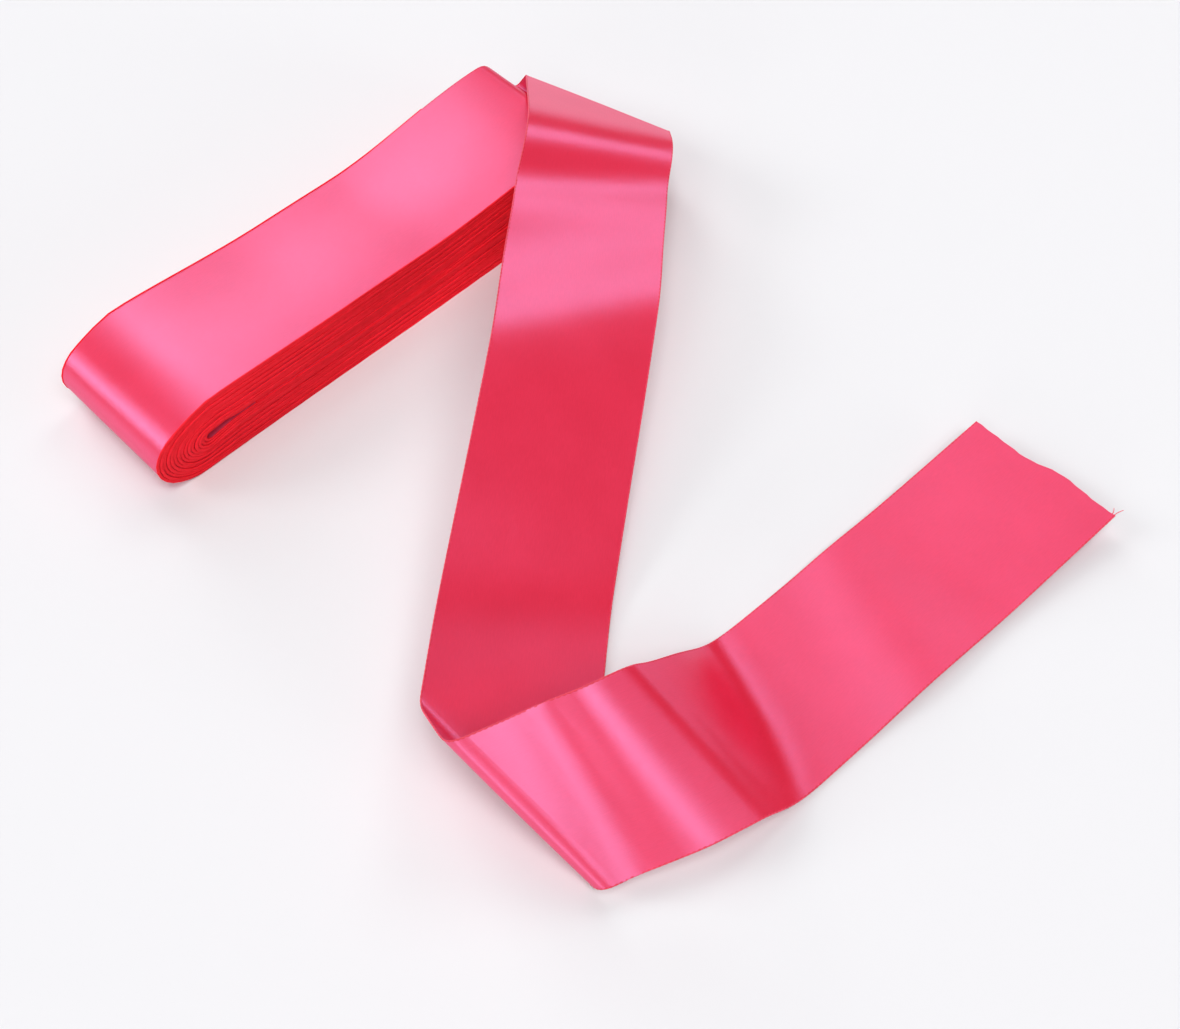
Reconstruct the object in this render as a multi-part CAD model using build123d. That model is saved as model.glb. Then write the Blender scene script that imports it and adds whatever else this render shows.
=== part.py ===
from build123d import *
import os
from math import cos, pi, radians, tan

# Rhythmic gymnastics ribbon: one long satin band.  Most of it is wound flat into a bundle.  Its last
# half metre leaves the top of the bundle, droops over the bundle's end, folds back diagonally over
# itself, lies down on the floor, folds a second time and ends in a plain straight cut.
# Millimetres, +Z up.  X runs along the bundle and Y across it.  The origin is the middle of the
# bundle's flat underside.

# ---- the band ---------------------------------------------------------------------------------------
BAND_WIDTH = 50.0            # over both selvedges
CLOTH_THICKNESS = 0.35       # satin cloth
SELVEDGE_WIDTH = 0.9         # corded edge on each side of the cloth
SELVEDGE_THICKNESS = 0.6

# ---- the wound bundle -------------------------------------------------------------------------------
BUNDLE_THICKNESS = 30.0      # underside to the top layer
FULL_TURNS = 15              # turns between the inner end and the top layer
CORE_RADIUS = 1.5            # centreline radius of the innermost half turn
LEFT_END_X = -80.5           # axis of the left half turns
RIGHT_END_X = 71.0           # axis of the right half turns
INNER_END_X = -62.0          # where the band's inner end lies on the innermost layer
LEAD_OUT_X = 51.5            # where the top layer becomes the lead-out

# ---- the inner end, made up to be tied to a stick --------------------------------------------------------
HEM_LENGTH = 26.0            # cloth turned back on itself at the inner end
STITCH_ROWS_X = (3.0, 23.0)  # rows of stitching, from the inner end
STITCH_LENGTH = 2.6
STITCH_GAP = 1.2
STITCH_THICKNESS = 0.25
EYELET_X = 13.0              # from the inner end
EYELET_HOLE_RADIUS = 2.0
EYELET_FLANGE_RADIUS = 4.0
EYELET_FLANGE_THICKNESS = 0.2

# ---- the loose stretch ------------------------------------------------------------------------------
# Each bend turns the band about a line across it: distance from the lead-out's start, slant of the
# line from square across, turn (positive towards the side that faces up on the bundle), and the
# length of band that the bend is spread over.
DROOP = [(28, 0, -52.5, 10)]
UPPER_FOLD = [(58, 17, 129.5, 5), (72, 32, 70.5, 5)]
MIDDLE_BENDS = [(109, -8.5, 38, 27), (275, -13.5, -9.5, 25)]
LOWER_FOLD = [(330, 36.5, -60, 5), (347, 23, -93, 10)]
FREE_END_BENDS = [(399, 21.5, -63.5, 14), (428, -15.5, 52.5, 8), (458, -19, 8, 16),
                  (476, -14.5, -11, 14), (500, 5.5, 8.5, 14)]
LOOSE_LENGTH = 548.0         # lead-out's start to the cut end
CUT_SLANT = 4.0              # of the cut end, from square across
CREASES_PER_BEND = 6

HALF_WIDTH = BAND_WIDTH / 2
HALF_CLOTH = HALF_WIDTH - SELVEDGE_WIDTH
TOP_LAYER_Z = BUNDLE_THICKNESS - CLOTH_THICKNESS / 2

os.makedirs("parts", exist_ok=True)


def save(shape, node):
    """Write one sub-part's STEP file."""
    shape.label = node
    export_step(shape, f"parts/{node}.step")


# ---- wound turns ----------------------------------------------------------------------------------------
# Layer heights are measured from the middle of the winding.  Every full turn adds one layer above and
# one below, a layer pitch further out.
LAYER_PITCH = (BUNDLE_THICKNESS - CLOTH_THICKNESS - 2 * CORE_RADIUS) / (2 * FULL_TURNS - 1)
WINDING_Z = CLOTH_THICKNESS / 2 + CORE_RADIUS + (FULL_TURNS - 1) * LAYER_PITCH


def winding_path(offset):
    """Edges of the flat spiral in the XZ plane, moved outwards by offset."""
    edges = []
    x = INNER_END_X
    for turn in range(FULL_TURNS):
        radius = CORE_RADIUS + turn * LAYER_PITCH + offset
        top, bottom = WINDING_Z + radius, WINDING_Z - radius
        edges.append(Line((x, 0, top), (RIGHT_END_X, 0, top)))
        edges.append(ThreePointArc((RIGHT_END_X, 0, top), (RIGHT_END_X + radius, 0, WINDING_Z),
                                   (RIGHT_END_X, 0, bottom)))
        edges.append(Line((RIGHT_END_X, 0, bottom), (LEFT_END_X, 0, bottom)))
        next_top = top + LAYER_PITCH
        middle = (bottom + next_top) / 2
        edges.append(ThreePointArc((LEFT_END_X, 0, bottom), (LEFT_END_X - (next_top - middle), 0, middle),
                                   (LEFT_END_X, 0, next_top)))
        x = LEFT_END_X
    edges.append(Line((LEFT_END_X, 0, next_top), (LEAD_OUT_X, 0, next_top)))
    return edges


def winding(thickness, near_y, far_y):
    """The wound turns as one solid: a flat spiral of the given thickness between two Y values."""
    outer = Wire(winding_path(thickness / 2))
    inner = Wire(winding_path(-thickness / 2))
    ends = [Edge.make_line(outer @ end, inner @ end) for end in (0, 1)]
    outline = Wire(outer.edges() + inner.edges() + ends)
    return extrude(Face(outline).moved(Location((0, near_y, 0))), amount=far_y - near_y, dir=(0, 1, 0))


# ---- loose stretch --------------------------------------------------------------------------------------
class Ruling:
    """One straight line across the band: its middle, its direction per millimetre of band width, and
    the mitred normal that keeps the cloth's thickness even on both sides of a crease."""

    def __init__(self, middle, across, normal):
        self.middle, self.across, self.normal = middle, across, normal

    def at(self, width, lift):
        return self.middle + self.across * width + self.normal * lift


def sub_creases(bend):
    """Spread one bend over several small creases, of which the middle ones turn most."""
    place, slant, turn, spread = bend
    fractions = [(step + 0.5) / CREASES_PER_BEND for step in range(CREASES_PER_BEND)]
    weights = [1 - cos(2 * pi * fraction) for fraction in fractions]
    for fraction, weight in zip(fractions, weights):
        shift = (fraction - 0.5) * spread / cos(radians(slant))
        yield place + shift, tan(radians(slant)), turn * weight / sum(weights)


def fold_band():
    """Fold the flat band crease by crease, and return the ruling at every crease and at both ends."""
    corner = Vector(LEAD_OUT_X, 0, TOP_LAYER_Z)
    along, across, normal = Vector(1, 0, 0), Vector(0, -1, 0), Vector(0, 0, 1)
    rulings = [Ruling(corner, across, normal)]
    travelled = 0.0
    for bend in DROOP + UPPER_FOLD + MIDDLE_BENDS + LOWER_FOLD + FREE_END_BENDS:
        for place, slant, turn in sub_creases(bend):
            corner += along * (place - travelled)
            travelled = place
            line = across + along * slant
            crease = Axis((0, 0, 0), line)
            rulings.append(Ruling(corner, line, normal.rotate(crease, turn / 2) / cos(radians(turn / 2))))
            along, across, normal = [vector.rotate(crease, turn) for vector in (along, across, normal)]
    corner += along * (LOOSE_LENGTH - travelled)
    rulings.append(Ruling(corner, across + along * tan(radians(CUT_SLANT)), normal))
    return rulings


def stretches_of(rulings):
    """Split the rulings into the loose stretches.  A fold and its neighbours share a ruling."""
    groups = [("upper_fold", len(DROOP), len(UPPER_FOLD)),
              ("lower_fold", len(DROOP + UPPER_FOLD + MIDDLE_BENDS), len(LOWER_FOLD))]
    first_last = {name: (1 + before * CREASES_PER_BEND, (before + bends) * CREASES_PER_BEND)
                  for name, before, bends in groups}
    (upper_first, upper_last), (lower_first, lower_last) = first_last.values()
    return {"lead_out": rulings[:upper_first + 1],
            "upper_fold": rulings[upper_first:upper_last + 1],
            "middle_run": rulings[upper_last:lower_first + 1],
            "lower_fold": rulings[lower_first:lower_last + 1],
            "free_run": rulings[lower_last:]}


def band_solid(rulings, thickness, near, far):
    """A closed solid of the band between two distances from its centreline."""
    lift = thickness / 2
    sections = [Face(Wire.make_polygon([ruling.at(near, -lift), ruling.at(far, -lift),
                                        ruling.at(far, lift), ruling.at(near, lift)]))
                for ruling in rulings]
    return loft(sections, ruled=True)


# ---- stick end, hidden at the core of the winding -----------------------------------------------------------
INNER_LAYER_Z = WINDING_Z + CORE_RADIUS
EYELET_PLACE = Location((INNER_END_X + EYELET_X, 0, INNER_LAYER_Z - CLOTH_THICKNESS / 2))


def hem():
    """The end of the cloth turned back under itself, with a hole for the eyelet."""
    ply = Box(HEM_LENGTH + CLOTH_THICKNESS, 2 * HALF_CLOTH, CLOTH_THICKNESS,
              align=(Align.MIN, Align.CENTER, Align.MAX))
    turn = Box(CLOTH_THICKNESS, 2 * HALF_CLOTH, CLOTH_THICKNESS,
               align=(Align.MIN, Align.CENTER, Align.MIN))
    place = Location((INNER_END_X - CLOTH_THICKNESS, 0, INNER_LAYER_Z - CLOTH_THICKNESS / 2))
    return place * (ply + turn) - eyelet_hole()


def eyelet_hole():
    return EYELET_PLACE * Cylinder(EYELET_HOLE_RADIUS + EYELET_FLANGE_THICKNESS, 2 * CLOTH_THICKNESS)


def eyelet():
    """A small pressed ring through both plies, with a flange on each face."""
    barrel = Cylinder(EYELET_HOLE_RADIUS + EYELET_FLANGE_THICKNESS, 2 * CLOTH_THICKNESS)
    flange = Cylinder(EYELET_FLANGE_RADIUS, EYELET_FLANGE_THICKNESS)
    height = CLOTH_THICKNESS + EYELET_FLANGE_THICKNESS / 2
    ring = barrel + Location((0, 0, height)) * flange + Location((0, 0, -height)) * flange
    return EYELET_PLACE * (ring - Cylinder(EYELET_HOLE_RADIUS, 4 * CLOTH_THICKNESS))


def stitching():
    """Two rows of stitches across the hem, on both of its faces."""
    stitch = Box(STITCH_THICKNESS, STITCH_LENGTH, STITCH_THICKNESS)
    pitch = STITCH_LENGTH + STITCH_GAP
    count = int(2 * HALF_CLOTH / pitch)
    height = CLOTH_THICKNESS + STITCH_THICKNESS / 2
    places = [Location((row - EYELET_X, (index - (count - 1) / 2) * pitch, side * height))
              for row in STITCH_ROWS_X for side in (-1, 1) for index in range(count)]
    return Compound(children=[EYELET_PLACE * place * stitch for place in places])


# ---- sub-parts ------------------------------------------------------------------------------------------------
strips = {"": (CLOTH_THICKNESS, -HALF_CLOTH, HALF_CLOTH),
          "_far_selvedge": (SELVEDGE_THICKNESS, -HALF_WIDTH, -HALF_CLOTH),
          "_near_selvedge": (SELVEDGE_THICKNESS, HALF_CLOTH, HALF_WIDTH)}

for suffix, (thickness, start, end) in strips.items():
    turns = winding(thickness, -end, -start)
    save(turns - eyelet_hole() if suffix == "" else turns, "wound_turns" + suffix)

for name, rulings in stretches_of(fold_band()).items():
    for suffix, (thickness, start, end) in strips.items():
        save(band_solid(rulings, thickness, start, end), name + suffix)

save(hem(), "stick_end_hem")
save(stitching(), "stick_end_stitching")
save(eyelet(), "stick_end_eyelet")
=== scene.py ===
from math import ceil, cos, pi, radians, sin, tan

import bpy
import numpy as np
from mathutils import Matrix, Vector


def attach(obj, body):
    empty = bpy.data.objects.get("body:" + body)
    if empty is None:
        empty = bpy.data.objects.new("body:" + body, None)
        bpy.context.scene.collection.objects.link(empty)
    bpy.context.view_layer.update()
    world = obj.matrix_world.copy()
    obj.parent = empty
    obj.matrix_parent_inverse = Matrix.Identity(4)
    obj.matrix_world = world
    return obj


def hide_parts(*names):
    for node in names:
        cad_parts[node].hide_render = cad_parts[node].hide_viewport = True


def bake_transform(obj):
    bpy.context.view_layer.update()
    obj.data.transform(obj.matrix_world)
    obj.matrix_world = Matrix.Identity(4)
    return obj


# Looks of a rhythmic gymnastics ribbon.  The working lengths are millimetres in the row frame, and
# become metres where a mesh or an object is made.  "s" is the distance along the band, counted from
# where the top layer becomes the lead-out, and "w" the distance across it from its middle.
MM = 0.001

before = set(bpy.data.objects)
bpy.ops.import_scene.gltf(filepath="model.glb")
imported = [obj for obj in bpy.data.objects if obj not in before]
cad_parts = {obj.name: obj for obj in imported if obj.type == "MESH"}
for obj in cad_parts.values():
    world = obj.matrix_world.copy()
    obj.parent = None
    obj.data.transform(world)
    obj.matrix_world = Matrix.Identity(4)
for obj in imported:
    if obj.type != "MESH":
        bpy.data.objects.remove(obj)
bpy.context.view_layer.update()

# ---- the band, as in the CAD ----------------------------------------------------------------------
BAND_WIDTH = 50.0
CLOTH_THICKNESS = 0.35
BUNDLE_THICKNESS = 30.0
FULL_TURNS = 15
CORE_RADIUS = 1.5
LEFT_END_X = -80.5
RIGHT_END_X = 71.0
INNER_END_X = -62.0
LEAD_OUT_X = 51.5
# Each bend: distance along the band, slant from square across, turn, and the length it is spread over.
DROOP = [(28, 0, -52.5, 10)]
UPPER_FOLD = [(58, 17, 129.5, 5), (72, 32, 70.5, 5)]
MIDDLE_BENDS = [(109, -8.5, 38, 27), (275, -13.5, -9.5, 25)]
LOWER_FOLD = [(330, 36.5, -60, 5), (347, 23, -93, 10)]
FREE_END_BENDS = [(399, 21.5, -63.5, 14), (428, -15.5, 52.5, 8), (458, -19, 8, 16),
                  (476, -14.5, -11, 14), (500, 5.5, 8.5, 14)]
LOOSE_LENGTH = 548.0
CUT_SLANT = 4.0

# ---- softening of the CAD's creases and the waves between them, in the visual cloth only -------------
# Each wave: distance along the band, slant (s per w), height, and half length before and after it.
WAVES = [(127, -0.3, 1.9, 10, 9), (187, -0.55, -6.5, 28, 75), (364, 0.1, -1.5, 7, 7),
         (379, 0.3, 1.7, 8, 9), (403, 0.3, -2.5, 9, 14)]
WAVES_START = (0, 12)        # they grow over the first stretch of the lead-out
# Small unevenness: height, length along the band, length across it (signed) and phase.
UNEVENNESS = [(0.08, 17.0, 19.0, 0.6), (0.05, 7.3, -31.0, 2.0)]
# Each rounding: its length, where along the band it sets in, and where it ends, if it does.
ROUNDINGS = [(3.0, (300, 330), None), (9.0, (352, 372), None), (8.0, (84, 100), (300, 315))]
ROUNDING_REACH = 30
ROUNDING_SLANT = 0.3         # the roundings set in along a slanted line, s per w
SAMPLE_STEP = 0.5
RUN_ON = 40                  # straight path added past both ends of the band while it is rounded
# The cut end's bulge and hollow (height, width across, half width) and its ripples.
CUT_BULGES = [(1.3, 6, 7.0), (-0.9, -8, 9.0)]
CUT_RIPPLES = [(0.12, 4.1, 0), (0.08, 9.7, 1)]
CUT_REACH = 9                # length of band over which the cut's unevenness fades out

# ---- the settled bundle --------------------------------------------------------------------------------
WAIST_HEIGHT = 26.0          # top of the bundle at its pressed middle, near side
WAIST_FAR_DROP = 3.4         # how much lower the far side is there
LEFT_HEIGHT = 27.2           # the same two at the left end
LEFT_FAR_DROP = 1.2
LEFT_TIP_DROP = 3.2
NEAR_TO_FAR_Y = (-20, 20)
WAIST_TO_RIGHT_X = (10, 75)
LEFT_TO_WAIST_X = (-78, -18)
LEFT_TIP_X = (-88, -72)
CORE_CLOSING = 0.96          # share of the core's height that is pressed shut
CLOSING_NEAR_EDGES_X, CLOSING_NEAR_EDGES_Y = (-77, -71), (14, 22)
CLOSING_EVERYWHERE_X = (-30, -15)
EYE_SHIFT = 5.0              # the innermost turns sit this far to the right of the left end's middle
EYE_SHIFT_X = (-80, -40)
WANDER = [(0.22, 61.0, 0), (0.16, 23.0, 1)]      # sideways wander of the layers: size, length, phase
CALM_OUTER_S, SLIM_OUTER_S = (0, 60), (10, 40)   # it fades out, and the edges slim, at the outer turn

# ---- faces and edges -----------------------------------------------------------------------------------
EDGE_INSET = 0.45            # the picot edge's cord runs this far inside the band's width
PICOT_PITCH = 1.5            # one bead of the picot edge
PICOT_OUT = (0.06, 0.10)     # each pair: between beads, and how much more on a bead
PICOT_HALF_WIDTH = (0.20, 0.14)
PICOT_HALF_HEIGHT = (0.22, 0.08)
PICOT_STEPS = 5
CORD_SIDES = 6
CREASES_PER_BEND = 16
LONGEST_FACE = 4.0
LONGEST_LAYER_FACE = 6.0
HALF_TURN_FACES = 14
ACROSS = 24                  # faces across the loose band
WOUND_ACROSS = 12            # and across the wound band
SHARP_ANGLE = 65
SLOPE_STEP_S, SLOPE_STEP_W = 1, 0.4              # steps that the surface's normals are taken over
LAYER_FILL = 0.495           # half of a layer's edge, in layer pitches
WOUND_EDGE_OUT = 0.1
WOUND_EDGE_HALF_WIDTH, WOUND_EDGE_KNOT, WOUND_EDGE_KNOT_LENGTH = 0.34, 0.05, 1.9
SLIM_EDGE = 0.55             # share of the edge's height that is left at the outer turn
FRAYED = [(3.0, -0.9, 0.3), (1.7, 0.8, 0.9)]     # loose warp threads: length, sideways bow, start
FRAYED_POINTS, FRAYED_LIFT, FRAYED_ROOT = 8, 0.5, 0.3
FRAYED_HALF_WIDTH, FRAYED_HALF_HEIGHT = 0.13, 0.10
BAND_TO_UV = 0.01            # the band's UV map is in tens of centimetres
TOP_LAYER_Z = BUNDLE_THICKNESS - CLOTH_THICKNESS / 2
LAYER_PITCH = (BUNDLE_THICKNESS - CLOTH_THICKNESS - 2 * CORE_RADIUS) / (2 * FULL_TURNS - 1)
WINDING_Z = CLOTH_THICKNESS / 2 + CORE_RADIUS + (FULL_TURNS - 1) * LAYER_PITCH


def smooth(low, high, value):
    """0 below low, 1 above high, and a smooth step in between."""
    part = np.clip((np.asarray(value, float) - low) / (high - low), 0, 1)
    return part * part * (3 - 2 * part)


# ---- meshes -----------------------------------------------------------------------------------------
class Shell:
    """Points, faces, (s, w) coordinates and material numbers, gathered into one mesh object."""

    def __init__(self):
        self.points, self.faces, self.coords, self.slots = [], [], [], []

    def add(self, points, faces, coords, slot=0):
        first = sum(len(part) for part in self.points)
        self.points.append(np.asarray(points, float).reshape(-1, 3))
        self.coords.append(np.asarray(coords, float).reshape(-1, 2))
        self.faces += [tuple(first + corner for corner in face) for face in faces]
        self.slots += [slot] * len(faces)

    def build(self, name, materials):
        points, coords = np.concatenate(self.points), np.concatenate(self.coords)
        mesh = bpy.data.meshes.new(name)
        mesh.from_pydata((points * MM).tolist(), [], self.faces)
        mesh.polygons.foreach_set("use_smooth", [True] * len(mesh.polygons))
        mesh.polygons.foreach_set("material_index", self.slots)
        order = np.empty(len(mesh.loops), np.int32)
        mesh.loops.foreach_get("vertex_index", order)
        layer = mesh.uv_layers.new(name="band")
        layer.data.foreach_set("uv", (coords * BAND_TO_UV)[order].ravel())
        for material in materials:
            mesh.materials.append(material)
        mesh.set_sharp_from_angle(angle=radians(SHARP_ANGLE))
        thing = bpy.data.objects.new(name, mesh)
        bpy.context.scene.collection.objects.link(thing)
        return thing


def grid_faces(rows, columns):
    """Quads of a grid of points whose rows are closed rings."""
    return [(r * columns + c, r * columns + (c + 1) % columns,
             (r + 1) * columns + (c + 1) % columns, (r + 1) * columns + c)
            for r in range(rows - 1) for c in range(columns)]


def add_cloth(shell, middles, normals, coords, thickness):
    """A closed thin solid about a grid of points."""
    rows, columns, _ = middles.shape
    ring = np.concatenate([middles + normals * thickness / 2,
                           (middles - normals * thickness / 2)[:, ::-1]], axis=1)
    size, end = 2 * columns, (rows - 1) * 2 * columns
    faces = grid_faces(rows, size)
    for c in range(columns - 1):
        faces.append((c + 1, c, size - 1 - c, size - 2 - c))
        faces.append((end + c, end + c + 1, end + size - 2 - c, end + size - 1 - c))
    shell.add(ring, faces, np.concatenate([coords, coords[:, ::-1]], axis=1))


def add_edge_cord(shell, path, out, up, half_width, half_height, coords, slot=1):
    """A closed tube along a path, whose half width and half height vary along it."""
    angles = [2 * pi * side / CORD_SIDES for side in range(CORD_SIDES)]
    rings = np.stack([path + out * (half_width * cos(a))[:, None] + up * (half_height * sin(a))[:, None]
                      for a in angles], axis=1)
    last = (len(path) - 1) * CORD_SIDES
    faces = grid_faces(len(path), CORD_SIDES)
    faces.append(tuple(reversed(range(CORD_SIDES))))
    faces.append(tuple(last + side for side in range(CORD_SIDES)))
    shell.add(rings, faces, np.repeat(coords, CORD_SIDES, axis=0), slot)


# ---- materials --------------------------------------------------------------------------------------
# Noise over the band: stretch along and across it, scale and detail.
CLOUDS = ((1, 1), 6, 3)
GRAIN = ((4, 30), 10, 2)
THREADS = ((1.5, 60), 12, 1)
SHADE_ENDS_AT, COLOR_STARTS_AT = 0.38, 0.62
THREAD_BUMP, THREAD_DEPTH = 0.2, 0.0002


def principled(name, **settings):
    material = bpy.data.materials.new(name)
    material.use_nodes = True
    shader = material.node_tree.nodes["Principled BSDF"]
    for socket, value in settings.items():
        shader.inputs[socket.replace("_", " ")].default_value = value
    return material, material.node_tree, shader


def satin_material(name, color, shade, **settings):
    """Woven satin: fine warp lines along the band, soft cloudiness and a lustre across the lines."""
    material, tree, shader = principled(name, **settings)
    nodes, links = tree.nodes, tree.links
    band = nodes.new("ShaderNodeUVMap")
    band.uv_map = "band"
    tangent = nodes.new("ShaderNodeTangent")
    tangent.direction_type, tangent.uv_map = "UV_MAP", "band"
    links.new(tangent.outputs["Tangent"], shader.inputs["Tangent"])

    def noise(stretch, scale, detail):
        stretched = nodes.new("ShaderNodeMapping")
        stretched.inputs["Scale"].default_value = (*stretch, 1)
        links.new(band.outputs["UV"], stretched.inputs["Vector"])
        node = nodes.new("ShaderNodeTexNoise")
        node.inputs["Scale"].default_value = scale
        node.inputs["Detail"].default_value = detail
        links.new(stretched.outputs["Vector"], node.inputs["Vector"])
        return node.outputs["Fac"]

    both = nodes.new("ShaderNodeMath")
    both.operation = "ADD"
    links.new(noise(*CLOUDS), both.inputs[0])
    links.new(noise(*GRAIN), both.inputs[1])
    half = nodes.new("ShaderNodeMath")
    half.operation = "MULTIPLY"
    half.inputs[1].default_value = 0.5
    links.new(both.outputs[0], half.inputs[0])
    ramp = nodes.new("ShaderNodeValToRGB")
    low, high = ramp.color_ramp.elements
    low.position, low.color = SHADE_ENDS_AT, (*shade, 1)
    high.position, high.color = COLOR_STARTS_AT, (*color, 1)
    links.new(half.outputs[0], ramp.inputs["Fac"])
    links.new(ramp.outputs["Color"], shader.inputs["Base Color"])

    bump = nodes.new("ShaderNodeBump")
    bump.inputs["Strength"].default_value = THREAD_BUMP
    bump.inputs["Distance"].default_value = THREAD_DEPTH
    links.new(noise(*THREADS), bump.inputs["Height"])
    links.new(bump.outputs["Normal"], shader.inputs["Normal"])
    return material


LUSTRE = dict(Metallic=0.0, Roughness=0.40, IOR=2.0, Specular_IOR_Level=1.0, Anisotropic=0.8,
              Anisotropic_Rotation=0.25, Specular_Tint=(0.7, 0.5, 1.0, 1))
satin = satin_material("satin", (0.88, 0.014, 0.042), (0.82, 0.008, 0.028), **LUSTRE)
picot = satin_material("picot", (0.78, 0.030, 0.085), (0.66, 0.016, 0.05), Roughness=0.6,
                       Specular_IOR_Level=0.6, Sheen_Weight=0.3, Sheen_Tint=(1.0, 0.5, 0.7, 1))
# The wound turns' corded edges: a brighter, deeper red than the satin. This is painted light that stands in
# for the light the edges catch and pass between the layers.
wound_edge_painted_light = satin_material("wound_edge_painted_light", (0.95, 0.012, 0.030), (0.84, 0.008, 0.020), Roughness=0.8,
                            Specular_IOR_Level=0.25)
brass, _, _ = principled("eyelet_brass", Base_Color=(0.74, 0.53, 0.24, 1), Metallic=1.0, Roughness=0.3)
thread, _, _ = principled("stitching_thread", Base_Color=(0.7, 0.03, 0.08, 1), Roughness=0.7)


# ---- folding the loose stretch ----------------------------------------------------------------------
class Ruling:
    """One straight line across the band, with the mitred normal along it."""

    def __init__(self, s, slant, middle, across, normal):
        self.s, self.slant = s, slant
        self.middle, self.across, self.normal = (np.array(v, float) for v in (middle, across, normal))

    def mixed(self, other, part):
        return Ruling(*[(1 - part) * getattr(self, word) + part * getattr(other, word)
                        for word in ("s", "slant", "middle", "across", "normal")])


def sub_creases(bend):
    """Spread one bend over small creases, of which the middle ones turn most."""
    place, slant, turn, spread = bend
    fractions = [(step + 0.5) / CREASES_PER_BEND for step in range(CREASES_PER_BEND)]
    weights = [1 - cos(2 * pi * fraction) for fraction in fractions]
    for fraction, weight in zip(fractions, weights):
        shift = (fraction - 0.5) * spread / cos(radians(slant))
        yield place + shift, tan(radians(slant)), radians(turn) * weight / sum(weights)


def fold_band():
    """The ruling at every crease of the band, and at its start and its cut end."""
    corner = Vector((LEAD_OUT_X, 0, TOP_LAYER_Z))
    along, across, normal = Vector((1, 0, 0)), Vector((0, -1, 0)), Vector((0, 0, 1))
    rulings = [Ruling(0, 0, corner, across, normal)]
    travelled = 0.0
    for bend in DROOP + UPPER_FOLD + MIDDLE_BENDS + LOWER_FOLD + FREE_END_BENDS:
        for place, slant, turn in sub_creases(bend):
            corner = corner + along * (place - travelled)
            travelled = place
            line = across + along * slant
            half = normal.copy()
            half.rotate(Matrix.Rotation(turn / 2, 3, line))
            rulings.append(Ruling(place, slant, corner, line, half))
            for vector in (along, across, normal):
                vector.rotate(Matrix.Rotation(turn, 3, line))
    corner = corner + along * (LOOSE_LENGTH - travelled)
    slant = tan(radians(CUT_SLANT))
    rulings.append(Ruling(LOOSE_LENGTH, slant, corner, across + along * slant, normal))
    return rulings


def fill_in(stretch, longest):
    """Add rulings so that no face is longer than longest at the band's middle or edges."""
    filled = []
    for a, b in zip(stretch, stretch[1:]):
        reach = max(abs(b.s - a.s + side * (b.slant - a.slant) * BAND_WIDTH / 2) for side in (-1, 0, 1))
        steps = max(1, ceil(reach / longest))
        filled += [a.mixed(b, step / steps) for step in range(steps)]
    return filled + [stretch[-1]]


rulings = fold_band()
counts = np.cumsum([1 + len(DROOP) * CREASES_PER_BEND] +
                   [len(bends) * CREASES_PER_BEND for bends in (UPPER_FOLD, MIDDLE_BENDS, LOWER_FOLD)])
STRETCHES = {
    "lead_out": rulings[:counts[0] + 1],
    "upper_fold": rulings[counts[0]:counts[1]],
    "middle_run": rulings[counts[1] - 1:counts[2] + 1],
    "lower_fold": rulings[counts[2]:counts[3]],
    "free_run": rulings[counts[3] - 1:],
}


# ---- the bundle's settled shape -----------------------------------------------------------------------
def bundle_top(x, y):
    """Height of the bundle: fullest at its right end, pressed flatter between its ends, most along
    its far side."""
    far = smooth(*NEAR_TO_FAR_Y, y)
    waist = WAIST_HEIGHT - WAIST_FAR_DROP * far
    height = waist + (BUNDLE_THICKNESS - waist) * smooth(*WAIST_TO_RIGHT_X, x)
    left = LEFT_HEIGHT - LEFT_FAR_DROP * far
    height = height + (left - waist) * (1 - smooth(*LEFT_TO_WAIST_X, x))
    return height - LEFT_TIP_DROP * (1 - smooth(*LEFT_TIP_X, x))


def press(points):
    """Move points of the evenly wound bundle to where the settled one has them."""
    x, y, z = points[..., 0], points[..., 1], points[..., 2]
    outer = BUNDLE_THICKNESS / 2
    past_end = np.minimum(x - LEFT_END_X, 0) + np.maximum(x - RIGHT_END_X, 0)
    rise = z - WINDING_Z
    reach = np.maximum(np.hypot(past_end, rise), 0.01)
    near_edges = smooth(*CLOSING_NEAR_EDGES_X, x) * smooth(*CLOSING_NEAR_EDGES_Y, np.abs(y))
    closed = np.maximum(near_edges, smooth(*CLOSING_EVERYWHERE_X, x))
    core = CORE_RADIUS * (1 - CORE_CLOSING * closed)
    settled = core + (reach - CORE_RADIUS) * (outer - core) / (outer - CORE_RADIUS)
    settled = np.where(reach < CORE_RADIUS, reach * core / CORE_RADIUS, settled)
    z = (WINDING_Z + rise * settled / reach) * bundle_top(x, y) / BUNDLE_THICKNESS
    shift = EYE_SHIFT * np.clip(1 - reach / outer, 0, 1) * (1 - smooth(*EYE_SHIFT_X, x))
    return np.stack([x + shift, y, z], axis=-1)


# ---- loose stretches ----------------------------------------------------------------------------------
softened_paths = {}


def waves(s, w):
    """Soft waves and small unevenness of the cloth, square to its surface."""
    rise = sum(height * np.sin(s / along + w / across + phase)
               for height, along, across, phase in UNEVENNESS)
    for middle, slant, height, before, after in WAVES:
        past = s - middle - slant * w
        rise = rise + height * np.exp(-(past / np.where(past < 0, before, after)) ** 2)
    return rise * smooth(*WAVES_START, s)


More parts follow.
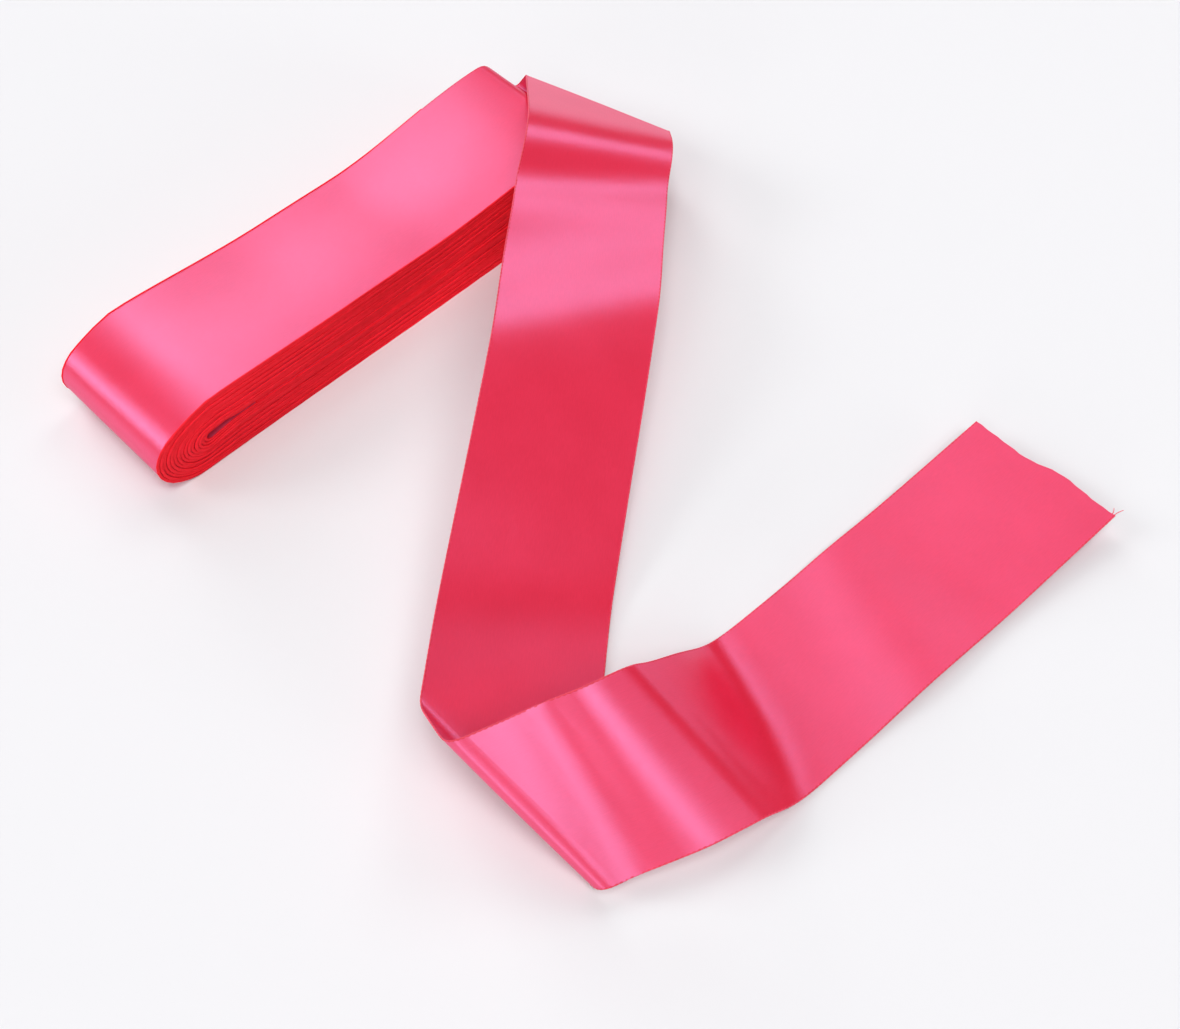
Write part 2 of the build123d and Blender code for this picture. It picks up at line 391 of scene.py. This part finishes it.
def softened(w):
    """The band's path at one width: the CAD's creases rounded as cloth rounds them."""
    if w not in softened_paths:
        at = np.array([row.s + row.slant * w for row in rulings])
        corners = np.array([row.middle + row.across * w for row in rulings])
        s = np.arange(at[0] - RUN_ON, at[-1] + RUN_ON, SAMPLE_STEP)
        path = np.stack([np.interp(s, at, corners[:, axis]) for axis in range(3)], axis=-1)
        for over, ahead in ((np.minimum(s - at[0], 0), corners[1] - corners[0]),
                            (np.maximum(s - at[-1], 0), corners[-1] - corners[-2])):
            path += np.outer(over, ahead / np.linalg.norm(ahead))
        reach = np.arange(-ROUNDING_REACH, ROUNDING_REACH + SAMPLE_STEP, SAMPLE_STEP)
        for length, start, end in ROUNDINGS:
            kernel = np.exp(-(reach / length) ** 2)
            rounded = np.stack([np.convolve(path[:, axis], kernel / kernel.sum(), "same")
                                for axis in range(3)], axis=-1)
            share = smooth(*start, s - ROUNDING_SLANT * w)
            if end:
                share = share * (1 - smooth(*end, s - ROUNDING_SLANT * w))
            path = path + share[:, None] * (rounded - path)
        softened_paths[w] = (s, path)
    return softened_paths[w]


def cut_edge(s, w):
    """The slightly uneven cut end: how far the cloth reaches past the straight cut or stops short."""
    uneven = sum(height * np.exp(-((w - middle) / half) ** 2) for height, middle, half in CUT_BULGES)
    for height, pitch, phase in CUT_RIPPLES:
        uneven = uneven + height * np.sin(w * pitch + phase)
    return uneven * smooth(LOOSE_LENGTH - CUT_REACH, LOOSE_LENGTH, s)


def surface(stretch, widths, longest):
    """Points, normals and (s, w) coordinates over a stretch, at the given widths."""
    rows = fill_in(stretch, longest)
    s = np.array([[row.s + row.slant * w for w in widths] for row in rows])
    w = np.array([widths for row in rows], float)
    s = s + cut_edge(s, w)

    def at(shift_s, shift_w):
        columns = []
        for column, width in enumerate(widths):
            place, path = softened(float(width) + shift_w)
            columns.append(np.stack([np.interp(s[:, column] + shift_s, place, path[:, axis])
                                     for axis in range(3)], axis=-1))
        return np.stack(columns, axis=1)

    points = at(0, 0)
    normals = np.cross(at(0, SLOPE_STEP_W) - at(0, -SLOPE_STEP_W), at(SLOPE_STEP_S, 0) - at(-SLOPE_STEP_S, 0))
    normals /= np.linalg.norm(normals, axis=-1, keepdims=True)
    return points + normals * waves(s, w)[..., None], normals, np.stack([s, w], axis=-1)


def add_frayed_threads(shell, points, normals):
    """Loose warp threads at the near corner of the cut end."""
    corner, up = points[-1, -1], normals[-1, -1]
    ahead = corner - points[-2, -1]
    ahead /= np.linalg.norm(ahead)
    out = np.cross(up, ahead)
    part = np.linspace(0, 1, FRAYED_POINTS)[:, None]
    tall = (FRAYED_POINTS, 1)
    for length, bow, start in FRAYED:
        line = corner + out * (start + bow * part ** 2) + ahead * (part * length - FRAYED_ROOT)
        line = line + up * FRAYED_LIFT * part ** 2
        add_edge_cord(shell, line, np.tile(out, tall), np.tile(up, tall),
                      np.full(FRAYED_POINTS, FRAYED_HALF_WIDTH), np.full(FRAYED_POINTS, FRAYED_HALF_HEIGHT),
                      np.full((FRAYED_POINTS, 2), LOOSE_LENGTH))


def beaded(between, more, bead):
    return between + more * bead


def loose_piece(name, stretch):
    """One loose stretch of the band with its two picot edges."""
    shell = Shell()
    edge = BAND_WIDTH / 2 - EDGE_INSET
    points, normals, coords = surface(stretch, np.linspace(-edge, edge, ACROSS + 1), LONGEST_FACE)
    add_cloth(shell, points, normals, coords, CLOTH_THICKNESS)
    for side in (-1, 1):
        line, up, where = (part[:, 0] for part in surface(stretch, [side * edge], PICOT_PITCH / PICOT_STEPS))
        out = np.cross(np.gradient(line, axis=0), up) * -side
        out /= np.linalg.norm(out, axis=1)[:, None]
        up = up / np.linalg.norm(up, axis=1)[:, None]
        bead = 0.5 + 0.5 * np.cos(2 * pi * where[:, 0] / PICOT_PITCH)
        add_edge_cord(shell, line + out * beaded(*PICOT_OUT, bead)[:, None], out, up,
                      beaded(*PICOT_HALF_WIDTH, bead), beaded(*PICOT_HALF_HEIGHT, bead), where)
    if name == "free_run":
        add_frayed_threads(shell, points, normals)
    if name == "lead_out":
        for part in shell.points:
            part[:, 2] *= bundle_top(part[:, 0], part[:, 1]) / BUNDLE_THICKNESS
    return shell.build("ribbon_" + name, [satin, picot])


pieces = {name: loose_piece(name, stretch) for name, stretch in STRETCHES.items()}


# ---- wound turns ----------------------------------------------------------------------------------------
def run(start, end, height, sign):
    """Points of one straight layer: (x, z, normal x, normal z)."""
    steps = max(2, ceil(abs(end - start) / LONGEST_LAYER_FACE))
    return [(start + (end - start) * step / steps, height, 0, sign) for step in range(steps)]


def half_turn(x, middle, radius, first):
    """Points of one half turn that starts at the angle first, clockwise seen from the near side."""
    turns = [first - pi * step / HALF_TURN_FACES for step in range(HALF_TURN_FACES)]
    return [(x + radius * cos(a), middle + radius * sin(a), cos(a), sin(a)) for a in turns]


def wind():
    """The whole spiral, from the inner end to where the lead-out starts."""
    path = []
    x = INNER_END_X
    for turn in range(FULL_TURNS):
        radius = CORE_RADIUS + turn * LAYER_PITCH
        path += run(x, RIGHT_END_X, WINDING_Z + radius, 1)
        path += half_turn(RIGHT_END_X, WINDING_Z, radius, pi / 2)
        path += run(RIGHT_END_X, LEFT_END_X, WINDING_Z - radius, -1)
        path += half_turn(LEFT_END_X, WINDING_Z + LAYER_PITCH / 2, radius + LAYER_PITCH / 2, -pi / 2)
        x = LEFT_END_X
    path += run(LEFT_END_X, LEAD_OUT_X, TOP_LAYER_Z, 1)
    return np.array(path + [(LEAD_OUT_X, TOP_LAYER_Z, 0, 1)])


wound_path = wind()
wound_steps = np.hypot(*np.diff(wound_path[:, :2], axis=0).T)


def wound_piece():
    """The wound turns, with a corded edge on each side."""
    s = np.concatenate([[0], np.cumsum(wound_steps)]) - wound_steps.sum()
    wander = sum(size * np.sin(s / length + phase) for size, length, phase in WANDER)
    wander = wander * smooth(*CALM_OUTER_S, -s)
    shell = Shell()

    def place(widths, lift):
        """Settled points and (s, w) coordinates at some widths, lifted off the band's middle."""
        w = np.array(widths, float)[None, :] + wander[:, None]
        x = wound_path[:, 0] + wound_path[:, 2] * lift
        z = wound_path[:, 1] + wound_path[:, 3] * lift
        x, z, where = (np.repeat(part[:, None], len(widths), 1) for part in (x, z, s))
        return press(np.stack([x, -w, z], axis=-1)), np.stack([where, w], axis=-1)

    edge = BAND_WIDTH / 2 - EDGE_INSET
    widths = np.linspace(-edge, edge, WOUND_ACROSS + 1)
    upper, coords = place(widths, CLOTH_THICKNESS / 2)
    lower, _ = place(widths, -CLOTH_THICKNESS / 2)
    add_cloth(shell, (upper + lower) / 2, (upper - lower) / CLOTH_THICKNESS, coords, CLOTH_THICKNESS)
    for side in (-1, 1):
        top, where = place([side * edge], LAYER_PITCH * LAYER_FILL)
        low, _ = place([side * edge], -LAYER_PITCH * LAYER_FILL)
        top, low, where = top[:, 0], low[:, 0], where[:, 0]
        half = np.linalg.norm(top - low, axis=1) / 2
        up = (top - low) / (2 * half[:, None])
        out = np.tile((0.0, -1.0 * side, 0.0), (len(up), 1))
        half_width = WOUND_EDGE_HALF_WIDTH + WOUND_EDGE_KNOT * np.sin(s / WOUND_EDGE_KNOT_LENGTH)
        slim = SLIM_EDGE + (1 - SLIM_EDGE) * smooth(*SLIM_OUTER_S, -s)
        add_edge_cord(shell, (top + low) / 2 + out * WOUND_EDGE_OUT, out, up, half_width, half * slim, where)
    # The edge cords use the wound-edge material, whose brighter red is painted light.
    return shell.build("ribbon_wound_turns", [satin, wound_edge_painted_light])


wound = wound_piece()


# ---- the stick end, at the core of the winding -----------------------------------------------------------
HEM_LENGTH = 26.0
HEM_HALF_WIDTH = 24
HEM_THICKNESS = 0.3
STITCH_ROWS_X = (3.0, 23.0)
STITCH_LENGTH, STITCH_GAP = 2.6, 1.2
STITCH_HALF_WIDTH, STITCH_HALF_HEIGHT = 0.14, 0.10
STITCH_DROP, STITCH_BOW = 0.25, 0.3
STITCH_POINTS = 5
EYELET_X = 13.0
EYELET_RADIUS, EYELET_TUBE, EYELET_FLATNESS = 3.0, 1.0, 0.45
hem_height = WINDING_Z + CORE_RADIUS - CLOTH_THICKNESS


def hem_piece():
    """The end of the cloth turned back under itself."""
    shell = Shell()
    x = np.linspace(-CLOTH_THICKNESS, HEM_LENGTH, 12)[:, None]
    y = np.linspace(-HEM_HALF_WIDTH, HEM_HALF_WIDTH, 13)[None, :]
    middles = np.stack(np.broadcast_arrays(INNER_END_X + x, y, hem_height), axis=-1)
    normals = np.zeros_like(middles)
    normals[..., 2] = 1
    coords = np.stack(np.broadcast_arrays(x, y), axis=-1)
    add_cloth(shell, press(middles), normals, coords, HEM_THICKNESS)
    return shell.build("stick_end_hem_cloth", [satin])


def stitch_piece():
    """Two rows of small stitches across the hem."""
    shell = Shell()
    pitch = STITCH_LENGTH + STITCH_GAP
    count = int(2 * HEM_HALF_WIDTH / pitch)
    bow = np.linspace(-0.5, 0.5, STITCH_POINTS)
    tall = (STITCH_POINTS, 1)
    out, up = np.tile((1.0, 0, 0), tall), np.tile((0, 0, 1.0), tall)
    for row in STITCH_ROWS_X:
        for index in range(count):
            x = np.full(STITCH_POINTS, INNER_END_X + row)
            y = (index - (count - 1) / 2) * pitch + bow * STITCH_LENGTH
            z = hem_height - STITCH_DROP - STITCH_BOW * (0.25 - bow ** 2)
            path = np.stack([x, y, z], axis=-1)
            add_edge_cord(shell, press(path), out, up, np.full(STITCH_POINTS, STITCH_HALF_WIDTH),
                          np.full(STITCH_POINTS, STITCH_HALF_HEIGHT), path[:, :2], 0)
    return shell.build("stick_end_stitches", [thread])


def eyelet_piece():
    """A pressed brass ring."""
    centre = press(np.array([[INNER_END_X + EYELET_X, 0.0, hem_height]]))[0]
    bpy.ops.mesh.primitive_torus_add(major_radius=EYELET_RADIUS * MM, minor_radius=EYELET_TUBE * MM,
                                     major_segments=32, minor_segments=10, location=tuple(centre * MM))
    ring = bpy.context.object
    ring.name = "stick_end_ring"
    ring.scale = (1, 1, EYELET_FLATNESS)
    bpy.ops.object.shade_smooth()
    ring.data.materials.append(brass)
    return ring


hem, stitches, ring = hem_piece(), stitch_piece(), eyelet_piece()


def nodes_of(name):
    return [name, name + "_far_selvedge", name + "_near_selvedge"]


for name, piece in list(pieces.items()) + [("wound_turns", wound)]:
    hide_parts(*nodes_of(name))
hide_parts("stick_end_hem")
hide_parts("stick_end_stitching")
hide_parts("stick_end_eyelet")

for piece in (wound, pieces["lead_out"], hem, stitches, ring):
    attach(piece, "bundle")
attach(pieces["middle_run"], "middle_run")
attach(pieces["free_run"], "free_run")


def blend_fold(name):
    """Bake the fold's placement into its mesh. The line and the way across the fold, from its first to its
    last ruling, are worked out but not used.
    """
    first, last = STRETCHES[name][0], STRETCHES[name][-1]
    line = first.across + last.across
    line /= np.linalg.norm(line)
    way = last.middle - first.middle
    way = way - line * (way @ line)
    way /= np.linalg.norm(way)
    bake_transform(pieces[name])


blend_fold("upper_fold")
blend_fold("lower_fold")


# ---- floor, light and camera -------------------------------------------------------------------------------
CAMERA_FROM = Vector((-184.9, -297.4, 369.3)) * MM
CAMERA_TO = Vector((-10.7, -118.0, 0.0)) * MM
CAMERA_ROLL = -0.67
CAMERA_LENS, CAMERA_SENSOR = 46.05, 36
BEHIND, TO_THE_RIGHT = Vector((0.697, 0.717, 0)), Vector((0.717, -0.697, 0))
FLOOR_SIZE = 40
LIGHT_SPREAD = 24
SKY_LIGHT, SKY_STRENGTH = (0.97, 0.96, 1.0, 1), 0.05
SKY_SEEN = (0.93, 0.91, 0.95, 1)
# Each light: height above the horizon, turn to the right from behind the ribbon, and strength.
LIGHTS = [(8, 120, 0.68), (8, 210, 0.6), (8, 330, 0.3), (25, 270, 0.9), (25, 330, 0.5),
          (42, 30, 0.45), (42, 330, 0.35), (42, 210, 0.5), (58, 0, 0.2), (58, 135, 0.7), (75, 180, 1.2)]

bpy.ops.mesh.primitive_plane_add(size=FLOOR_SIZE, location=(0, 0, 0))
floor = bpy.context.object
floor.name = "floor"
floor_paper, _, _ = principled("floor_paper", Base_Color=(0.78, 0.775, 0.795, 1), Roughness=0.9,
                               Specular_IOR_Level=0.2)
floor.data.materials.append(floor_paper)


def soft_light(height, turn, strength):
    """A wide distant light."""
    data = bpy.data.lights.new("soft_light", "SUN")
    data.angle, data.energy = radians(LIGHT_SPREAD), strength
    lamp = bpy.data.objects.new("soft_light", data)
    bpy.context.scene.collection.objects.link(lamp)
    sideways = BEHIND * cos(radians(turn)) + TO_THE_RIGHT * sin(radians(turn))
    toward = sideways * cos(radians(height)) + Vector((0, 0, 1)) * sin(radians(height))
    lamp.rotation_mode = "QUATERNION"
    lamp.rotation_quaternion = toward.to_track_quat("Z", "Y")


def studio_world():
    """A faint even light from all round, and a pale background where the camera sees past the floor."""
    world = bpy.data.worlds.new("studio")
    bpy.context.scene.world = world
    world.use_nodes = True
    sky, links = world.node_tree.nodes, world.node_tree.links
    dim = sky["Background"]
    dim.inputs["Color"].default_value, dim.inputs["Strength"].default_value = SKY_LIGHT, SKY_STRENGTH
    seen = sky.new("ShaderNodeBackground")
    seen.inputs["Color"].default_value = SKY_SEEN
    choice, rays = sky.new("ShaderNodeMixShader"), sky.new("ShaderNodeLightPath")
    links.new(rays.outputs["Is Camera Ray"], choice.inputs[0])
    links.new(dim.outputs[0], choice.inputs[1])
    links.new(seen.outputs[0], choice.inputs[2])
    links.new(choice.outputs[0], sky["World Output"].inputs["Surface"])


def place_camera():
    """The camera, looking from one point at another with a slight roll."""
    data = bpy.data.cameras.new("camera")
    data.lens, data.sensor_width = CAMERA_LENS, CAMERA_SENSOR
    camera = bpy.data.objects.new("camera", data)
    bpy.context.scene.collection.objects.link(camera)
    back = (CAMERA_FROM - CAMERA_TO).normalized()
    right = Vector((0, 0, 1)).cross(back).normalized()
    up = back.cross(right)
    turn = radians(CAMERA_ROLL)
    right, up = right * cos(turn) + up * sin(turn), up * cos(turn) - right * sin(turn)
    axes = Matrix((right, up, back)).transposed().to_4x4()
    camera.matrix_world = Matrix.Translation(CAMERA_FROM) @ axes
    bpy.context.scene.camera = camera


studio_world()
for height, turn, strength in LIGHTS:
    soft_light(height, turn, strength)
place_camera()
bpy.context.scene.view_settings.view_transform = "Standard"
